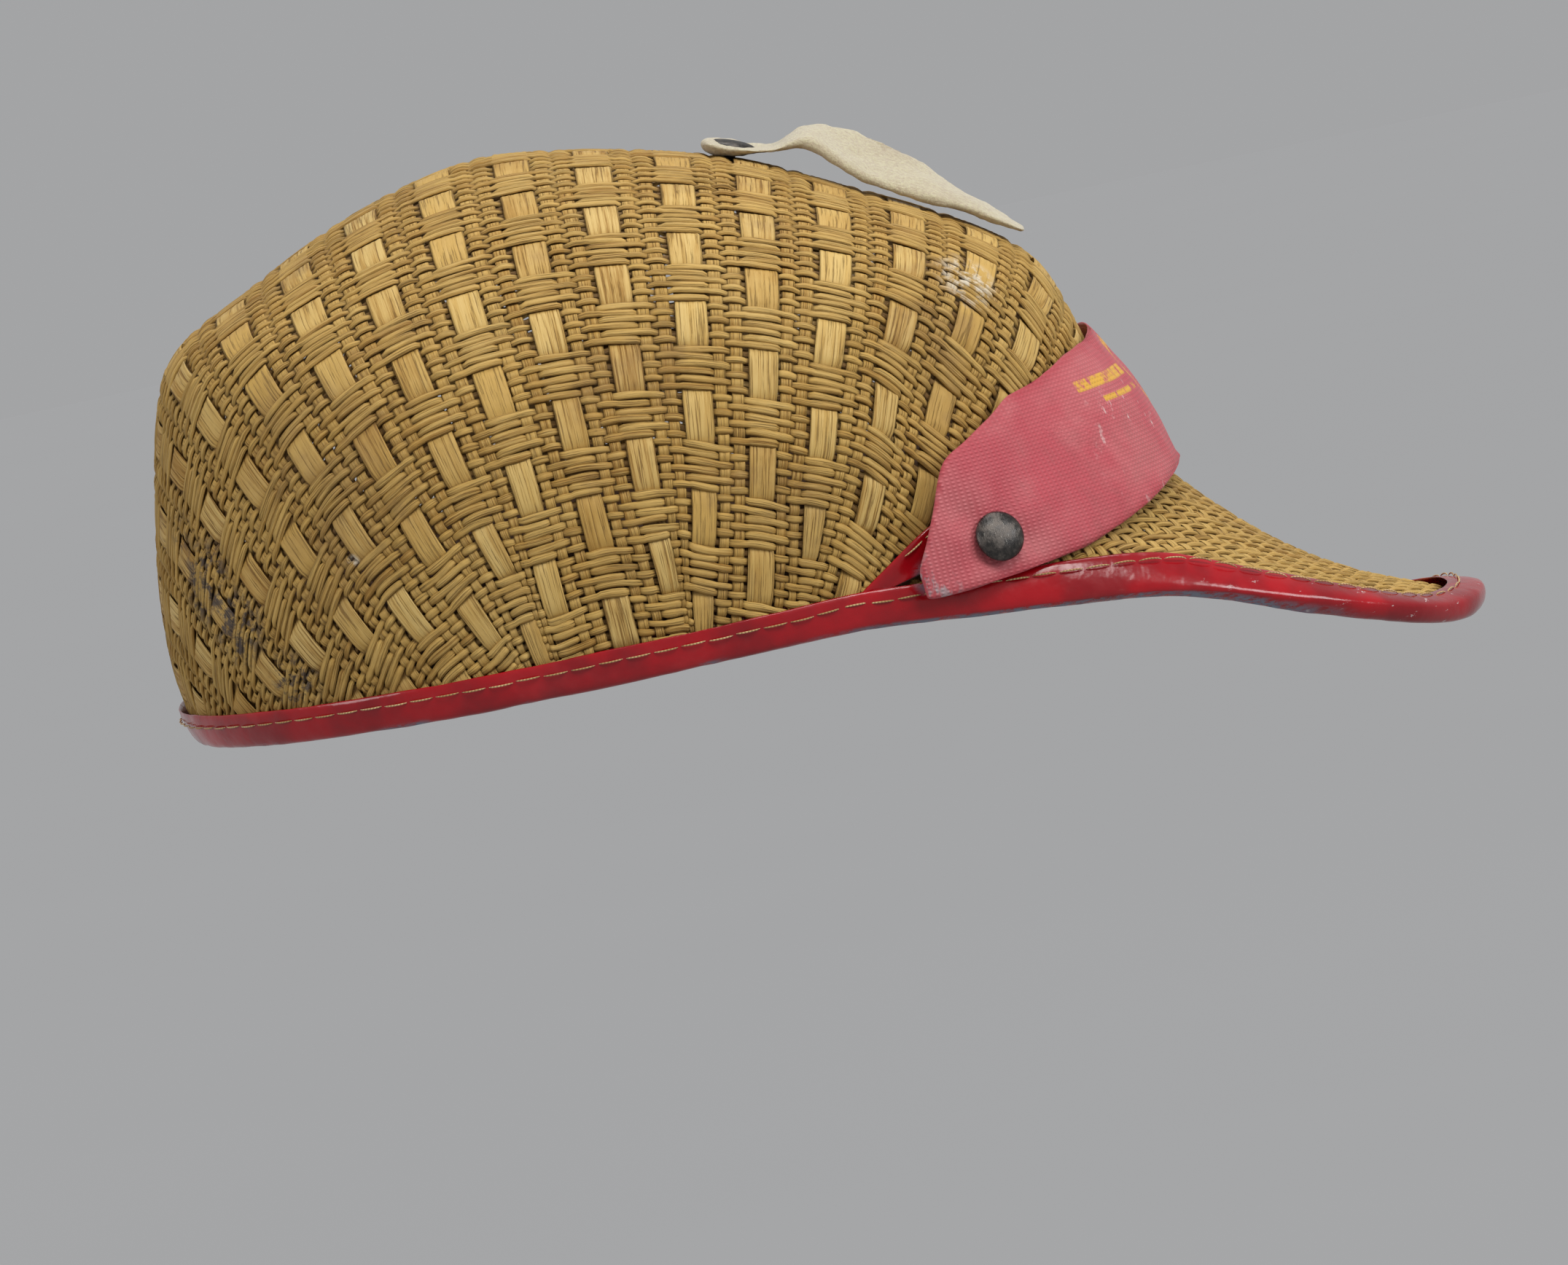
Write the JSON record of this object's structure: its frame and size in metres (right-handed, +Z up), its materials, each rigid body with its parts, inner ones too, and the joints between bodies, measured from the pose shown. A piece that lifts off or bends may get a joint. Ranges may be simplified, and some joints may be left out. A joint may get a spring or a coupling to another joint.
{
  "type": "woven straw peaked cap",
  "caption": "Woven straw peaked cap with a glossy bound edge, a cloth front band on press studs and a felt strip riveted to the crown.",
  "frame": {"origin": "middle of the head opening, in the plane of the hem", "axes": "+X forward through the peak, +Y the wearer's left, +Z up"},
  "size_m": [0.28, 0.1646, 0.1413],
  "materials": {
    "straw": "woven natural straw, dry and matte",
    "binding": "glossy coated cloth, cracked at the lower edge",
    "band": "faded coated cloth with a fine pressed grid",
    "felt": "soft cream felt",
    "thread": "waxed sewing thread",
    "stud_metal": "dark oxidised metal",
    "sweatband": "smooth thin leathercloth"
  },
  "bodies": {
    "cap": {"crown": "straw", "peak": "straw", "edge_binding": "binding", "edge_stitching": "thread", "seam_strip": "binding", "seam_stitching": "thread", "front_band": "band", "right_stud_ball": "stud_metal", "right_stud_washer": "stud_metal", "left_stud_ball": "stud_metal", "left_stud_washer": "stud_metal", "crown_rivet": "stud_metal", "crown_rivet_washer": "stud_metal", "sweatband": "sweatband", "sweatband_stitching": "thread"},
    "right_band_flap": {"right_band_end": "band", "right_stud_cap": "stud_metal", "right_stud_socket": "stud_metal"},
    "left_band_flap": {"left_band_end": "band", "left_stud_cap": "stud_metal", "left_stud_socket": "stud_metal"},
    "felt_root": {"felt_tab": "felt"},
    "felt_flap": {"felt_strip": "felt"}
  },
  "joints": [
    {"name": "right_band_peel", "type": "hinge", "parent": "cap", "child": "right_band_flap", "pos_m": [0.10021, -0.04111, 0.02741], "axis": [-0.3337, 0.1309, 0.9336], "range_deg": [0, 35]},
    {"name": "left_band_peel", "type": "hinge", "parent": "cap", "child": "left_band_flap", "pos_m": [0.10021, 0.04111, 0.02741], "axis": [0.3337, 0.1309, -0.9336], "range_deg": [0, 35]},
    {"name": "felt_swivel", "type": "hinge", "parent": "cap", "child": "felt_root", "pos_m": [0.03502, 0, 0.09734], "axis": [0.3481, 0, 0.9374], "range_deg": [-20, 20]},
    {"name": "felt_lift", "type": "hinge", "parent": "felt_root", "child": "felt_flap", "pos_m": [0.04425, 0, 0.09772], "axis": [0, -1, 0], "range_deg": [0, 60]}
  ]
}
